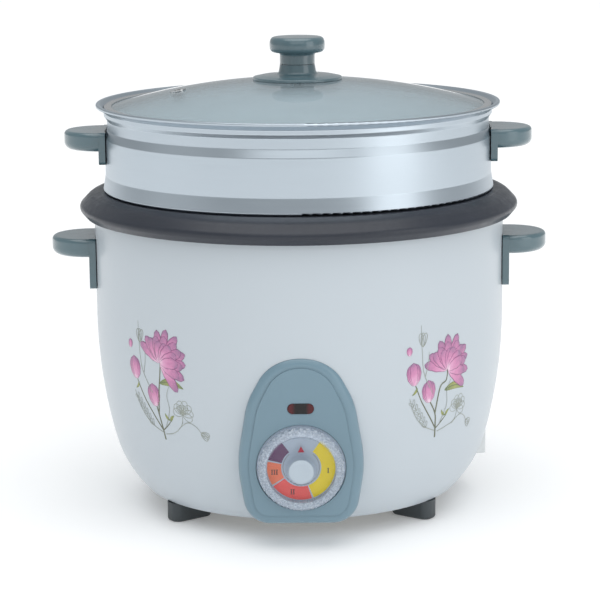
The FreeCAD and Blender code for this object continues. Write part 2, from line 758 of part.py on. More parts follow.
def make_timer():
    """Clockwork timer behind the panel, on two ears."""
    case = new_body("timer_case")
    can = new_sketch(case, "XZ_Plane", shift=-dim.panel_wall - 0.2)
    draw_circles(can, [(0, 0, 21.5)])
    padded(case, can, 20, outward=False)
    ears = new_sketch(case, "XZ_Plane", shift=-dim.panel_wall - 4)
    draw_outline(ears, box_corners(-31.5, -5, 31.5, 5, 3))
    padded(case, ears, 1.5, outward=False)
    doc.recompute()
    holes = new_sketch(case, "XZ_Plane")
    draw_circles(holes, [(-27, 0, 1.5), (27, 0, 1.5), (0, 0, 3.06)])
    pocketed(case, holes, 20.3, outward=False)
    tabs = new_sketch(case, "XZ_Plane", shift=-dim.panel_wall - 20.2)
    draw_outline(tabs, box_corners(-10.5, -12.4, -4.5, -11.6))
    draw_outline(tabs, box_corners(4.5, -12.4, 10.5, -11.6))
    padded(case, tabs, 7, outward=False)
    case.Placement = panel_place
    master = screw("timer_screw", 3.0, 2.0, 1.5, 5.5)
    back = dim.panel_wall.number + 5.5
    spots = [panel_place.multiply(pointing(Vector(x, back, 0), Vector(0, -1, 0))) for x in (-27, 27)]
    grouped("timer_screws", master, spots)


def make_indicator():
    lens = new_body("indicator_lens")
    half_length, half_width = dim.lens_length / 2, dim.lens_width / 2
    shape = new_sketch(lens, "XZ_Plane", shift=-dim.panel_wall)
    draw_outline(shape, box_corners(-half_length, dim.lens_height - half_width, half_length,
                                    dim.lens_height + half_width, half_width - 0.05))
    pad = padded(lens, shape, dim.panel_wall + 0.7)
    rounded(lens, pad, 0.6, level_edges("y", -0.7))
    lens.Placement = panel_place
    tube = cylinder("lamp_tube", 2.3, 11, Vector(-5.5, 7, dim.lens_height.number), Vector(1, 0, 0))
    end = doc.addObject("Part::Sphere", "lamp_end")
    bind(end, Radius=2.3)
    end.Placement = Placement(Vector(-5.5, 7, dim.lens_height.number), Rotation())
    leads = [cylinder("lamp_lead", 0.4, 9, Vector(5, 7, dim.lens_height.number + z), Vector(1, 0, 0))
             for z in (-1.2, 1.2)]
    lamp = fused("neon_lamp", [tube, end] + leads)
    lamp.Placement = panel_place
    keep("neon_lamp", lamp)


# ---------------------------------------------------------------- heating

def make_heating_plate():
    body = new_body("heating_plate")
    under = dim.plate_top - dim.plate_thick
    turned(body, [
        (20, under), (dim.plate_radius - 4, under, 2), (dim.plate_radius, under + 4, 2),
        (dim.plate_radius, dim.plate_top, 2.5), (20, dim.plate_top, 1),
    ])
    groove = new_sketch(body, "XZ_Plane")
    draw_circles(groove, [(dim.element_ring, under, dim.element_tube + 0.2)])
    cut = body.newObject("PartDesign::Groove", "ElementGroove")
    cut.Profile = groove
    cut.ReferenceAxis = (groove, ["V_Axis"])
    cut.Angle = 360
    doc.recompute()
    boss = new_sketch(body, "XY_Plane", shift=under)
    draw_circles(boss, [(dim.post_ring, 0, 7)])
    repeated(body, padded(body, boss, 6, outward=False), 3)

    ring = doc.addObject("Part::Torus", "element_loop")
    bind(ring, Radius1=dim.element_ring, Radius2=dim.element_tube)
    ring.Angle3 = 330
    ring.Placement = Placement(Vector(0, 0, under.number), Rotation(Vector(0, 0, 1), 105))
    legs = []
    for turn in (75, 105):
        angle = math.radians(turn)
        spot = Vector(math.cos(angle), math.sin(angle), 0) * dim.element_ring.number
        spot.z = under.number
        joint = doc.addObject("Part::Sphere", "element_joint")
        bind(joint, Radius=dim.element_tube)
        joint.Placement = Placement(spot, Rotation())
        legs += [joint, cylinder("element_leg", 3.4, 20, spot, Vector(0, 0, -1)),
                 cylinder("element_tab", 1.2, 28, spot, Vector(0, 0, -1))]
    keep("heating_element", fused("heating_element", [ring] + legs))

    floor = dim.floor_plate + dim.floor_thick
    post_top = under - 6
    column = cylinder("post_column", 4, post_top - floor, Vector(0, 0, floor.number))
    stud = cylinder("post_stud", 2.5, floor - 9.5, Vector(0, 0, 9.5))
    post = fused("plate_post", [column, stud])
    nut = doc.addObject("Part::Prism", "nut_body")
    nut.Polygon = 6
    nut.Circumradius = 5
    nut.Height = 4
    nut.Placement = Placement(Vector(0, 0, dim.floor_plate.number - 4), Rotation())
    nut_ring = less("post_nut", nut, cylinder("nut_bore", 2.5, 20))
    spots = [Placement(Vector(), Rotation(Vector(0, 0, 1), 120 * i)).multiply(
        Placement(Vector(dim.post_ring.number, 0, 0), Rotation())) for i in range(3)]
    grouped("plate_posts", post, spots)
    grouped("post_nuts", nut_ring, spots)


def make_sensor():
    """Spring-loaded sensor in the middle of the heating plate, and the switch under it."""
    cap = new_body("sensor_cap")
    top = dim.plate_top + 0.05
    turned(cap, [
        (0, top), (17, top, 1.5), (17, top - 10), (15.5, top - 10), (15.5, top - 1.6, 1),
        (3.0, top - 1.6), (3.0, 50), (0, 50),
    ])
    spring = new_body("sensor_spring")
    wire = new_sketch(spring, "XZ_Plane")
    draw_circles(wire, [(6.0, 67.5, 0.6)])
    helix = spring.newObject("PartDesign::AdditiveHelix", "Coils")
    helix.Profile = wire
    helix.ReferenceAxis = (wire, ["V_Axis"])
    helix.Mode = 0
    helix.Pitch = 3.0
    helix.Height = 13.8

    bracket = doc.addObject("Part::Box", "sensor_bridge")
    bind(bracket, Length=60, Width=14, Height=1.6)
    bracket.Placement = Placement(Vector(-30, -7, 65), Rotation())
    under = (dim.plate_top - dim.plate_thick).number
    ends = [block("bridge_end", 1.6, 14, under - 65, Vector(x, -7, 65)) for x in (-30, 28.4)]
    bush = cylinder("sensor_bush", 7, 10, Vector(0, 0, 56.6))
    bore = cylinder("sensor_bore", 3.06, 30, Vector(0, 0, 50))
    guide = less("sensor_guide", fused("sensor_guide_solid", [bracket, bush] + ends), bore)
    keep("sensor_guide", guide)

    case = block("switch_case", 28, 11, 18, Vector(-14, -5.5, 22.5))
    lever = block("switch_lever", 26, 5, 0.6, Vector(-12, -2.5, 43.0))
    heel = block("switch_heel", 1.2, 5, 3.1, Vector(-13.2, -2.5, 40.5))
    button = cylinder("switch_button", 1.6, 2.5, Vector(5, 0, 40.5))
    foot = block("switch_foot", 40, 11, 1.2, Vector(-20, -5.5, dim.floor_plate.number + 1.2))
    neck = block("switch_neck", 20, 11, 4.7, Vector(-10, -5.5, 17.9))
    keep("thermostat_switch", fused("thermostat_switch", [case, lever, heel, button, foot, neck]))


def make_terminals():
    """Terminal block, its screws, and the thermal fuse clipped under the plate."""
    floor = (dim.floor_plate + dim.floor_thick).number
    base = block("terminal_base", 46, 20, 14, Vector(-23, 60, floor))
    wells = [cylinder("terminal_well", 4, 9, Vector(x, 70, floor + 6)) for x in (-15, 0, 15)]
    walls = less("terminal_block", base, fused("terminal_wells", wells))
    keep("terminal_block", walls)
    master = screw("terminal_screw", 3.4, 2.2, 1.6, 3.0)
    spots = [pointing(Vector(x, 70, floor + 9.2), Vector(0, 0, -1)) for x in (-15, 0, 15)]
    grouped("terminal_screws", master, spots)
    under = (dim.plate_top - dim.plate_thick).number
    fuse_place = Vector(-12, -50, under - 4.4)
    fuse = cylinder("fuse_tube", 3.0, 24, fuse_place, Vector(1, 0, 0))
    tail = cylinder("fuse_tail", 0.6, 44, fuse_place - Vector(10, 0, 0), Vector(1, 0, 0))
    keep("thermal_fuse", fused("thermal_fuse", [fuse, tail]))
    hoop = cylinder("clip_hoop", 4.0, 7, fuse_place + Vector(8.5, 0, 0), Vector(1, 0, 0))
    tab = block("clip_tab", 7, 14, 1.0, fuse_place + Vector(8.5, -1, 3.4))
    clip = less("fuse_clip", fused("fuse_clip_solid", [hoop, tab]),
                cylinder("clip_bore", 3.0, 30, fuse_place, Vector(1, 0, 0)))
    keep("fuse_clip", clip)


def lead(node, points, radius=1.3):
    """Insulated wire along straight runs joined by tangent arcs."""
    edges = []
    start = points[0]
    for before, corner, after in zip(points, points[1:], points[2:]):
        back, ahead = (before - corner), (after - corner)
        shorter = min(back.Length, ahead.Length)
        half = back.getAngle(ahead) / 2
        bend = 0.45 * shorter * math.tan(half)
        reach = 0.45 * shorter
        first, last = corner + back.normalize() * reach, corner + ahead.normalize() * reach
        towards = (first + last) * 0.5 - corner
        centre = corner + towards.normalize() * (bend / math.sin(half))
        middle = centre + (corner - centre).normalize() * bend
        edges.append(Part.LineSegment(start, first).toShape())
        edges.append(Part.Arc(first, middle, last).toShape())
        start = last
    edges.append(Part.LineSegment(start, points[-1]).toShape())
    path = Part.Wire(edges)
    direction = (points[1] - points[0]).normalize()
    section = Part.Wire([Part.Circle(points[0], direction, radius).toShape()])
    tube = doc.addObject("Part::Feature", node)
    tube.Shape = path.makePipeShell([section], True, False)
    expected = math.pi * radius ** 2 * path.Length
    if abs(tube.Shape.Volume - expected) > 0.02 * expected:
        raise ValueError(f"{node}: the wire's volume is off")
    keep(node, tube)


def make_leads():
    """Internal wiring between the inlet, the terminals, the timer and the element."""
    turn = Placement(Vector(), Rotation(Vector(0, 0, 1), INLET_TURN))
    middle = (dim.inlet_low + dim.inlet_height / 2).number
    top = (dim.floor_plate + dim.floor_thick).number + 14
    for node, y, x_end in (("lead_live", 7, 15), ("lead_neutral", -7, 0)):
        start = turn.multVec(Vector(106, y, middle - 2))
        lead(node, [start, turn.multVec(Vector(94, y, middle + 1)), Vector(60 + y, 62, 52),
                    Vector(x_end + 12, 70, 50), Vector(x_end, 70, top + 12),
                    Vector(x_end, 70, top - 2)])
    start = turn.multVec(Vector(106, 0, middle + 2))
    lead("lead_earth", [start, turn.multVec(Vector(92, 0, middle + 5)), Vector(74, 5, 44),
                        Vector(74, -14, 30), Vector(74, -18, 17.0)])
    tab = panel_place.multVec(Vector(7.5, 31, -12))
    lead("lead_timer", [tab, tab + Vector(1, 10, 0), Vector(30, -70, 34), Vector(40, -30, 30),
                        Vector(38, 20, 34), Vector(20, 48, 44), Vector(-14, 64, 50),
                        Vector(-15, 70, top + 8), Vector(-15, 70, top - 2)], 1.2)


# ---------------------------------------------------------------- pot

def make_inner_pot():
    """Coated pot with a wide drooping rim that covers the top of the body."""
    body = new_body("inner_pot")
    wall = dim.pot_wall
    crest, waist = dim.rim_crest, dim.rim_waist
    turned(body, [
        (0, dim.pot_base),
        (130, dim.pot_base, 32),
        (143.9, crest - 8.5, 2),
        (146.4, crest - 3.2, 2.5),
        (151.0, crest - 2.9, 3),
        (dim.rim_radius - 3.4, waist + 1.0, 2),
        (dim.rim_radius - 6.6, waist - 5.6),
        (dim.rim_radius - 4.6, waist - 6.6),
        (dim.rim_radius + 1.1, waist, 4),
        (dim.rim_radius - 7.2, waist + 8.8, 12),
        (150.6, crest + 0.1, 4),
        (144.6, crest, 2),
        (143.9 - wall, crest - 6.5, 3),
        (130 - wall, dim.pot_base + wall + 0.4, 30),
        (0, dim.pot_base + wall + 0.4),
    ])


# ---------------------------------------------------------------- steamer

def make_steamer_pan():
    body = new_body("steamer_pan")
    wall = dim.pan_wall
    main, base, top = dim.pan_radius, dim.pan_base, dim.pan_top
    nest = as_size(141.0)
    band = main + 2.1
    seat = dim.rim_crest + 0.4
    neck = main - 1.9
    collar = main + 0.4
    turned(body, [
        (0, base),
        (nest, base, 6),
        (nest, seat, 0.8),
        (band, seat, 1.6),
        (main, 253.0, 3),
        (main, 281.0, 2.5),
        (neck, 287.0, 2),
        (neck, 294.3, 0.8),
        (collar, 297.4, 0.8),
        (collar, 300.4, 1.0),
        (dim.flange_radius - 1.8, top - 2.6, 1.2),
        (dim.flange_radius, top - 2.2, 0.8),
        (dim.flange_radius, top, 0.9),
        (dim.flange_radius - 2.9, top, 1.2),
        (collar - wall + 0.6, top - 4.4, 0.8),
        (collar - wall, 300.9, 0.3),
        (collar - wall, 298.0, 0.4),
        (neck - wall, 294.9, 0.4),
        (neck - wall, 287.2, 2),
        (main - wall, 281.2, 2.5),
        (main - wall, 253.1, 3),
        (band - wall - 0.3, seat + wall, 0.6),
        (nest - wall, seat + wall, 2.0),
        (nest - wall, base + wall, 4.8),
        (0, base + wall),
    ])
    for ring, count in ((0, 1), (22, 6), (44, 12), (66, 18), (88, 24), (110, 30), (126, 36)):
        hole = new_sketch(body, "XY_Plane", shift=base - 5)
        draw_circles(hole, [(ring, 0, 3.0)])
        cut = pocketed(body, hole, 12)
        if count > 1:
            repeated(body, cut, count)
    height = dim.pan_handle_low + dim.handle_thick / 2
    for outward in (True, False):
        holes = new_sketch(body, "YZ_Plane")
        draw_circles(holes, [(-13, height, 2.0), (13, height, 2.0)])
        pocketed(body, holes, outward=outward)


def make_steamer_handles():
    for node, side in (("steamer_handle_right", 1), ("steamer_handle_left", -1)):
        make_handle(node, side, dim.pan_handle_tip, dim.pan_handle_low, dim.pan_radius,
                    as_size(262.0), as_size(285.9), 13, as_size(160))
    head = doc.addObject("Part::Cone", "rivet_head")
    bind(head, Radius1=2.4, Radius2=3.8, Height=1.2)
    head.Placement = Placement(Vector(0, 0, -1.2), Rotation())
    rivet = fused("rivet", [head, cylinder("rivet_shank", 2.0, 17.0)])
    height = (dim.pan_handle_low + dim.handle_thick / 2).number
    spots = []
    for side in (1, -1):
        for y in (-13, 13):
            spots.append(pointing(Vector(side * 142.7, y, height), Vector(side, 0, 0)))
    grouped("steamer_rivets", rivet, spots)


# ---------------------------------------------------------------- lid

def make_lid():
    glass = new_body("lid_glass")
    top, thick, edge = dim.glass_top, dim.glass_thick, dim.glass_radius
    turned(glass, [
        (4, top), (72.5, top, DOME), (edge, top - 19.9, 0.9),
        (edge - 0.4, top - 19.9 - thick, 0.9), (72.2, top - thick, DOME - 4), (4, top - thick),
    ])
    vent = new_sketch(glass, "XY_Plane", shift=290)
    draw_circles(vent, [(VENT.x, VENT.y, 3.9)])
    doc.recompute()
    plumb = Part.makeLine(Vector(VENT.x, VENT.y, 290), Vector(VENT.x, VENT.y, 330))
    height = glass.Shape.common(plumb).BoundBox.ZMax
    pocketed(glass, vent, 50)

    band = new_body("lid_band")
    turned(band, [
        (143.0, 298.3), (143.0, 303.05), (145.2, 303.05), (145.2, 304.0, 0.4),
        (143.4, 304.5, 0.7),
        (139.6, 304.0), (139.6, 303.4), (edge + 0.2, 303.4), (edge + 0.2, 299.0),
        (140.4, 299.0), (140.4, 298.3),
    ])

    axis = Vector(VENT.x, VENT.y, DOME).normalize()
    seat = Vector(VENT.x, VENT.y, height) + axis * 0.08
    flange = cylinder("vent_flange", 6.0, 0.9, seat, axis)
    sleeve = cylinder("vent_sleeve", 3.1, 4.2, seat - axis * 4.2, axis)
    curl = cylinder("vent_curl", 4.8, 0.7, seat - axis * 4.2, axis)
    bore = cylinder("vent_bore", 2.4, 12, seat - axis * 6, axis)
    keep("vent_eyelet", less("vent_eyelet", fused("vent_solid", [flange, sleeve, curl]), bore))

    base = new_body("lid_knob_base")
    turned(base, [
        (2.3, 322.65), (30.6, 322.65), (31.4, 321.85), (dim.knob_flange, 321.85, 0.4),
        (dim.knob_flange, 323.9, 0.9), (27, 325.2, 8), (14.4, 326.0, 2.5),
        (13.1, 333.3), (2.3, 333.3),
    ])
    cap = new_body("lid_knob_cap")
    turned(cap, [
        (0, 347), (2.3, 347), (2.3, 333.6), (13.1, 333.6), (13.1, 342.0, 2.2),
        (dim.knob_cap - 0.4, 342.2, 3.6), (dim.knob_cap, 349.0, 9),
        (dim.knob_cap - 1.4, dim.knob_top - 0.5, 3.4), (0, dim.knob_top),
    ])
    washer = new_body("lid_washer")
    turned(washer, [(2.3, 317.4), (14, 317.4, 0.5), (14, 319.0, 0.5), (2.3, 319.0)])
    master = screw("lid_screw_solid", 5.0, 3.0, 2.3, 29.0)
    grouped("lid_screw", master, [Placement(Vector(0, 0, 317.4), Rotation())])


# ---------------------------------------------------------------- build, check, write

make_outer_shell()
make_inner_liner()
make_base_plate()
make_feet()
make_body_handles()
make_inlet()
make_envelope()
make_control_panel()
make_panel_screws()
make_dial()
make_timer()
make_indicator()
make_heating_plate()
make_sensor()
make_terminals()
make_leads()
make_inner_pot()
make_steamer_pan()
make_steamer_handles()
make_lid()
doc.recompute()

for item in doc.Objects:
    if "Invalid" in item.State or "Error" in item.State:
        raise ValueError(f"{item.Label} did not build: {item.State}")
for node, piece in nodes.items():
    if piece.Shape.isNull() or not piece.Shape.isValid() or not piece.Shape.Solids:
        raise ValueError(f"{node} has no valid solid")

for node, piece in nodes.items():
    piece.Shape.exportStep(f"parts/{node}.step")
print(len(nodes), "nodes written")
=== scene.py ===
import json
import math

import bmesh
import bpy
from mathutils import Euler, Matrix, Vector
from mathutils.bvhtree import BVHTree


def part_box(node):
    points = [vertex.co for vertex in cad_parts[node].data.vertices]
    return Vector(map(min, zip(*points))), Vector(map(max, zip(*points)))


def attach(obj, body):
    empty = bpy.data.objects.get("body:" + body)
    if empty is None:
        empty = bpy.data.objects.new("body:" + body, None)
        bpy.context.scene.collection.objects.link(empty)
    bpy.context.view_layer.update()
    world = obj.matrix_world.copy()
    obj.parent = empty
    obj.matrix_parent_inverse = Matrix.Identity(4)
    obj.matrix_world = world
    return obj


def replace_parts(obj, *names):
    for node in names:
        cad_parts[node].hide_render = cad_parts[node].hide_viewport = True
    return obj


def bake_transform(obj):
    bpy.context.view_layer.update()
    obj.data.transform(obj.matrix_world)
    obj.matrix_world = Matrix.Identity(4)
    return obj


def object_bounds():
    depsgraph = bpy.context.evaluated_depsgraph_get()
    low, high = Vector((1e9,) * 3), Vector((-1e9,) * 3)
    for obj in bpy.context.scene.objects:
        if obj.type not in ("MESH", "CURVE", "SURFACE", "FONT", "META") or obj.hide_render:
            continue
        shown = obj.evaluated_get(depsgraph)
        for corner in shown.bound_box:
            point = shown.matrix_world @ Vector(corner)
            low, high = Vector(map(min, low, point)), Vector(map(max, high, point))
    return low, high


# Rice cooker with a steamer and a glass lid: looks, light and camera around the CAD frame.
# Metres, +Z up, panel towards -Y.

MM = 0.001
DIAL_HEIGHT = 62 * MM
INK_COAT = {"Coat_Weight": 0.3, "Coat_Roughness": 0.15}

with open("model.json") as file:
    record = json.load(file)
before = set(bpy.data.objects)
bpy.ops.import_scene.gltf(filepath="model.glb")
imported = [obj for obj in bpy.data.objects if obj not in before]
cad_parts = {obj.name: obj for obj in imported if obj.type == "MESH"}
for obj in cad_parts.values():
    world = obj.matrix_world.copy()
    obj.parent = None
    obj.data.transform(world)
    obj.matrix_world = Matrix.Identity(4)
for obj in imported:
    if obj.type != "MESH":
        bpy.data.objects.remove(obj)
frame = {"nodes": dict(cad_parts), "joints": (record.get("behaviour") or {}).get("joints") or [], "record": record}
cad_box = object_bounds()
nodes = frame["nodes"]
scene = bpy.context.scene


def srgb(red, green, blue):
    """Linear colour of an sRGB colour given from 0 to 255."""
    shares = [c / 255 for c in (red, green, blue)]
    linear = [(c / 12.92 if c <= 10 / 255 else ((c + 0.055) / 1.055) ** 2.4) for c in shares]
    return tuple(linear) + (1.0,)


# ---------------------------------------------------------------- materials

class Paint:
    """A node material built round one Principled shader."""

    def __init__(self, name, **sockets):
        self.material = bpy.data.materials.new(name)
        self.material.use_nodes = True
        self.tree = self.material.node_tree
        self.shader = self.tree.nodes["Principled BSDF"]
        self.normal = None
        self.set(**sockets)

    def set(self, **sockets):
        """Set sockets of the shader by name, with _ for a space."""
        for key, value in sockets.items():
            self.feed(self.shader.inputs[key.replace("_", " ")], value)
        return self

    def feed(self, socket, value):
        if isinstance(value, bpy.types.NodeSocket):
            self.tree.links.new(value, socket)
        else:
            socket.default_value = value

    def node(self, kind, sockets=(), **settings):
        made = self.tree.nodes.new("ShaderNode" + kind)
        for key, value in settings.items():
            setattr(made, key, value)
        for key, value in dict(sockets).items():
            self.feed(made.inputs[key], value)
        return made

    def math(self, operation, first, second=0.0):
        made = self.node("Math", operation=operation)
        self.feed(made.inputs[0], first)
        self.feed(made.inputs[1], second)
        return made.outputs[0]

    def length(self, first, second):
        """Length of the flat vector with these two components."""
        squares = [self.math("MULTIPLY", part, part) for part in (first, second)]
        return self.math("SQRT", self.math("ADD", *squares))

    def place(self):
        """Object coordinates, in metres."""
        return self.node("TexCoord").outputs["Object"]

    def stretched(self, scales, source=None):
        made = self.node("Mapping", {"Vector": source or self.place()})
        made.inputs["Scale"].default_value = scales
        return made.outputs[0]

    def round_z(self, around, height, out):
        """Coordinates that run around the Z axis, up, and out from it."""
        parts = self.node("SeparateXYZ", {"Vector": self.place()}).outputs
        angle = self.math("ARCTAN2", parts["Y"], parts["X"])
        radius = self.length(parts["X"], parts["Y"])
        joined = self.node("CombineXYZ", {"X": self.math("MULTIPLY", angle, around),
                                          "Y": self.math("MULTIPLY", parts["Z"], height),
                                          "Z": self.math("MULTIPLY", radius, out)})
        return joined.outputs[0]

    def noise(self, scale, source=None, detail=3.0, roughness=0.55):
        made = self.node("TexNoise", {"Vector": source or self.place(), "Scale": scale,
                                      "Detail": detail, "Roughness": roughness})
        return made.outputs["Fac"]

    def spread(self, source, low, high, start=0.3, end=0.7):
        """Map a value from start-end to low-high."""
        return self.node("MapRange", {"Value": source, "From Min": start, "From Max": end,
                                      "To Min": low, "To Max": high}).outputs["Result"]

    def ramp(self, source, stops):
        made = self.node("ValToRGB", {"Fac": source})
        points = made.color_ramp.elements
        while len(points) < len(stops):
            points.new(0.5)
        for point, (place, colour) in zip(points, stops):
            point.position = place
            point.color = colour
        return made.outputs["Color"]

    def blend(self, amount, first, second):
        made = self.node("Mix", data_type="RGBA")
        self.feed(made.inputs["Factor"], amount)
        self.feed(made.inputs["A"], first)
        self.feed(made.inputs["B"], second)
        return made.outputs["Result"]

    def bump(self, height, depth, strength=1.0):
        """Add a height field, depth in metres, to the surface normal."""
        sockets = {"Height": height, "Distance": depth, "Strength": strength}
        if self.normal is not None:
            sockets["Normal"] = self.normal
        self.normal = self.node("Bump", sockets).outputs["Normal"]
        self.feed(self.shader.inputs["Normal"], self.normal)
        return self

    def soft_edges(self, radius):
        """Round every sharp edge a little in the shading."""
        self.normal = self.node("Bevel", {"Radius": radius}, samples=4).outputs["Normal"]
        self.feed(self.shader.inputs["Normal"], self.normal)
        return self


def shade(colour, factor):
    """The same colour made darker or lighter."""
    return tuple(min(1.0, c * factor) for c in colour[:3]) + (1.0,)


def moulded(name, colour, rough, grain=2600.0, depth=0.03 * MM, mottle=0.05, **sockets):
    """Moulded plastic: fine spark grain, slow gloss changes and a little colour drift."""
    paint = Paint(name, **sockets).soft_edges(0.5 * MM)
    slow = paint.noise(24.0, detail=2.0)
    fine = paint.noise(grain, detail=2.0, roughness=0.6)
    paint.set(Base_Color=paint.blend(slow, shade(colour, 1 - mottle), shade(colour, 1 + mottle)),
              Roughness=paint.spread(paint.noise(90.0), rough - 0.04, rough + 0.05))
    paint.bump(fine, depth)
    return paint.material


def metal(name, colour, rough, grain=900.0, depth=0.02 * MM, mottle=0.08, stain=None):
    """Sheet or turned metal with drawn lines, smudges and, if given, a stain colour."""
    paint = Paint(name, Metallic=1.0).soft_edges(0.3 * MM)
    slow = paint.noise(35.0, detail=4.0)
    fine = paint.noise(1.0, paint.stretched((grain, grain * 0.15, grain)), detail=3.0)
    tint = paint.blend(slow, shade(colour, 1 - mottle), shade(colour, 1 + mottle))
    if stain:
        tint = paint.blend(paint.spread(paint.noise(60.0, detail=5.0), 0.0, 0.7, 0.5, 0.75), tint, stain)
    paint.set(Base_Color=tint, Roughness=paint.spread(slow, rough - 0.06, rough + 0.08))
    paint.bump(fine, depth)
    return paint.material


def brushed(name, colour, rough, anisotropy):
    """Aluminium brushed round the Z axis, so highlights stand up in bands."""
    paint = Paint(name, Metallic=1.0, Anisotropic=anisotropy)
    lines = paint.noise(1.0, paint.round_z(9.0, 5200.0, 5200.0), detail=4.0, roughness=0.7)
    coarse = paint.noise(1.0, paint.round_z(3.0, 900.0, 900.0), detail=2.0)
    slow = paint.noise(18.0, detail=3.0)
    tint = paint.blend(lines, shade(colour, 0.96), shade(colour, 1.03))
    paint.set(Base_Color=paint.blend(paint.spread(slow, 0.0, 0.25), tint, shade(colour, 0.94)),
              Roughness=paint.spread(coarse, rough - 0.02, rough + 0.03))
    tangent = paint.node("Tangent", direction_type="RADIAL", axis="Z")
    paint.feed(paint.shader.inputs["Tangent"], tangent.outputs[0])
    paint.bump(lines, 0.0006 * MM)
    return paint.material


def enamel():
    """Satin white enamel over pressed steel: faint orange peel and a clear top coat."""
    white = srgb(196, 204, 210)
    paint = Paint("shell_enamel", Coat_Weight=0.15, Coat_Roughness=0.12, Specular_IOR_Level=0.3)
    slow = paint.noise(9.0, detail=2.0)
    peel = paint.noise(420.0, detail=1.0, roughness=0.4)
    speck = paint.spread(paint.noise(3800.0, detail=1.0), 0.0, 0.12, 0.62, 0.8)
    tint = paint.blend(slow, shade(white, 0.985), shade(white, 1.01))
    paint.set(Base_Color=paint.blend(speck, tint, shade(white, 0.8)),
              Roughness=paint.spread(slow, 0.3, 0.36))
    return paint.bump(peel, 0.018 * MM).material


def nonstick():
    """Dark coating with fine light flecks and a shallow cast grain."""
    paint = Paint("nonstick", Coat_Weight=0.12, Coat_Roughness=0.25, Specular_IOR_Level=0.35)
    flecks = paint.spread(paint.noise(5200.0, detail=1.0), 0.0, 1.0, 0.66, 0.76)
    slow = paint.noise(30.0, detail=3.0)
    dark = paint.blend(slow, srgb(38, 42, 50), srgb(48, 52, 62))
    paint.set(Base_Color=paint.blend(flecks, dark, srgb(112, 118, 126)),
              Roughness=paint.spread(paint.noise(160.0), 0.3, 0.42))
    return paint.bump(paint.noise(1900.0, detail=2.0), 0.03 * MM).material


def bulb_glass():
    """Clear glass of the small lamp, with slight smudges."""
    paint = Paint("lamp_glass", Transmission_Weight=1.0, IOR=1.5)
    tint = srgb(250, 220, 196)
    smudge = paint.noise(45.0, detail=5.0)
    paint.set(Base_Color=paint.blend(smudge, tint, shade(tint, 0.97)),
              Roughness=paint.spread(smudge, 0.0, 0.035, 0.45, 0.8))
    return paint.material


def sheet_glass():
    """Thin clear glass: see-through straight on, paler and mirror-like at a low angle."""
    paint = Paint("lid_glass", IOR=1.5, Coat_Weight=1.0, Coat_Roughness=0.02)
    smudge = paint.noise(26.0, detail=5.0)
    glancing = paint.node("Fresnel", {"IOR": 1.5}).outputs[0]
    body = paint.spread(glancing, 0.1, 1.0, 0.04, 0.85)
    paint.set(Base_Color=paint.blend(smudge, srgb(198, 212, 218), srgb(188, 203, 209)),
              Alpha=paint.math("ADD", body, paint.spread(smudge, 0.0, 0.05, 0.45, 0.8)),
              Roughness=paint.spread(smudge, 0.03, 0.08, 0.45, 0.8))
    return paint.bump(paint.noise(22.0, detail=1.0), 0.004 * MM).material


def cut_clear():
    """Clear moulding of the timer knob, clear over the dial; its cut rim carries a painted reflection, paler and
    less clear with painted sparkle, in place of the light caught inside the cuts.
    """
    paint = Paint("clear_plastic", IOR=1.49, Coat_Weight=0.6, Coat_Roughness=0.03)
    parts = paint.node("SeparateXYZ", {"Vector": paint.place()}).outputs
    away = paint.length(parts["X"], paint.math("SUBTRACT", parts["Z"], DIAL_HEIGHT))
    smudge = paint.noise(60.0, detail=4.0)
    # Painted sparkle: this noise flecks the colour and the rim's opacity lighter and darker for glints in the
    # cuts, and it also bumps the surface.
    sparkle = paint.noise(900.0, detail=3.0, roughness=0.7)
    rim = paint.spread(away, 0.0, 1.0, 24.0 * MM, 25.2 * MM)
    # Painted reflection: the cut rim is made paler and less see-through.
    painted_rim_reflection = paint.math("ADD", 0.03, paint.math("MULTIPLY", rim, paint.spread(sparkle, 0.3, 0.8)))
    glancing = paint.node("Fresnel", {"IOR": 1.49}).outputs[0]
    paint.set(Base_Color=paint.blend(sparkle, srgb(150, 164, 182), srgb(214, 224, 235)),
              Alpha=paint.math("ADD", painted_rim_reflection, paint.spread(glancing, 0.0, 0.4, 0.05, 0.9)),
              Roughness=paint.spread(smudge, 0.03, 0.1, 0.45, 0.8))
    return paint.bump(sparkle, 0.02 * MM).material


def lens():
    """Dark red window over an unlit lamp, painted black in the middle as painted shade for the dark lamp housing
    seen through it.
    """
    paint = Paint("lens_red", Coat_Weight=0.25, Coat_Roughness=0.06, Specular_IOR_Level=0.3)
    x = paint.node("SeparateXYZ", {"Vector": paint.place()}).outputs["X"]
    away = paint.math("ABSOLUTE", x)
    ribs = paint.noise(1.0, paint.stretched((2600.0, 60.0, 60.0)), detail=1.0)
    red = paint.blend(ribs, srgb(58, 8, 16), srgb(92, 18, 26))
    # Painted shade: black in the middle, fading out to the red towards the sides.
    painted_shade_fade = paint.spread(away, 0.0, 1.0, 3.6 * MM, 6.4 * MM)
    paint.set(Base_Color=paint.blend(painted_shade_fade, srgb(12, 7, 10), red),
              Roughness=paint.spread(ribs, 0.16, 0.24))
    return paint.bump(ribs, 0.02 * MM).material


def printed(name, colour):
    """Printed ink: flat colour with the slight unevenness of screen printing."""
    paint = Paint(name, **INK_COAT)
    tone = paint.noise(700.0, detail=3.0)
    paint.set(Base_Color=paint.blend(tone, shade(colour, 0.94), shade(colour, 1.06)),
              Roughness=paint.spread(tone, 0.38, 0.46))
    return paint.bump(tone, 0.004 * MM).material


